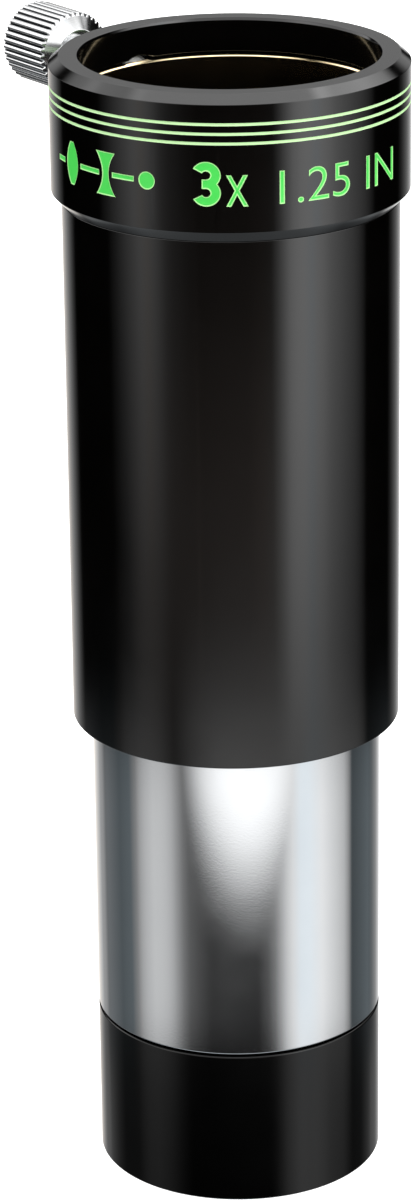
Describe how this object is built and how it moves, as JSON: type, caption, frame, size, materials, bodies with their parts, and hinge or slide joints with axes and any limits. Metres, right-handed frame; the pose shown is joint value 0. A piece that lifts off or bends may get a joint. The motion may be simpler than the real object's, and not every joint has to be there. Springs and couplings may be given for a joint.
{
  "type": "barlow lens",
  "caption": "Barlow lens tube with a flared eyepiece collar, a side thumbscrew that closes a split brass ring, a chromed nose barrel and a threaded lens cell.",
  "frame": {"origin": "on the optical axis, in the plane of the lens cell's lower end, which is the nose's leading end and the face that the part stands on", "axes": "+Z along the optical axis, from the telescope's end up to the eyepiece's end; the figures face -Y; the thumbscrew points to -X and +Y, at 126.5 degrees from +X"},
  "size_m": [0.0442, 0.0508, 0.127],
  "materials": {
    "black_anodised": "black anodised, semi-gloss, fine turning marks",
    "black_matt": "matt black anti-reflection coating",
    "chrome": "satin to bright chrome plate",
    "brass": "bare turned brass",
    "coated_glass": "polished, multicoated",
    "black_rubber": "matt",
    "green_paint": "light green enamel in engraved lines and figures"
  },
  "bodies": {
    "tube": {"body_tube": "black_anodised", "eyepiece_collar": "black_anodised", "nose_barrel": "chrome", "upper_baffle": "black_matt", "lower_baffle": "black_matt"},
    "clamp_ring": {"clamp_ring": "brass"},
    "thumbscrew_shank": {"thumbscrew_shank": "chrome"},
    "thumbscrew_head": {"thumbscrew_head": "chrome"},
    "lens_stack": {"crown_lens": "coated_glass", "lens_spacer": "black_matt", "flint_lens": "coated_glass", "lens_cushion": "black_rubber"},
    "lens_cell": {"lens_cell": "black_anodised", "retaining_ring": "black_anodised"}
  },
  "joints": [
    {"name": "thumbscrew_travel", "type": "slide", "parent": "tube", "child": "thumbscrew_shank", "axis": [-0.5948, 0.8039, 0], "range_m": [-0.00023, 0.0014]},
    {"name": "thumbscrew_turn", "type": "hinge", "parent": "thumbscrew_shank", "child": "thumbscrew_head", "pos_m": [-0.01695, 0.02291, 0.1216], "axis": [-0.5948, 0.8039, 0], "range_deg": [-120, 720]},
    {"name": "clamp_ring_shift", "type": "slide", "parent": "tube", "child": "clamp_ring", "axis": [-0.5948, 0.8039, 0], "range_m": [-0.00005, 0.00026]},
    {"name": "cell_travel", "type": "slide", "parent": "tube", "child": "lens_stack", "axis": [0, 0, -1], "range_m": [0, 0.00482]},
    {"name": "cell_turn", "type": "hinge", "parent": "lens_stack", "child": "lens_cell", "pos_m": [0, 0, 0.0115], "axis": [0, 0, -1], "range_deg": [0, 2880]}
  ],
  "couplings": [
    {"joint": "thumbscrew_turn", "follows": "thumbscrew_travel", "rad_per_m": 8976},
    {"joint": "clamp_ring_shift", "follows": "thumbscrew_travel", "ratio": 0.17952},
    {"joint": "cell_travel", "follows": "cell_turn", "m_per_rad": 0.000095493}
  ]
}
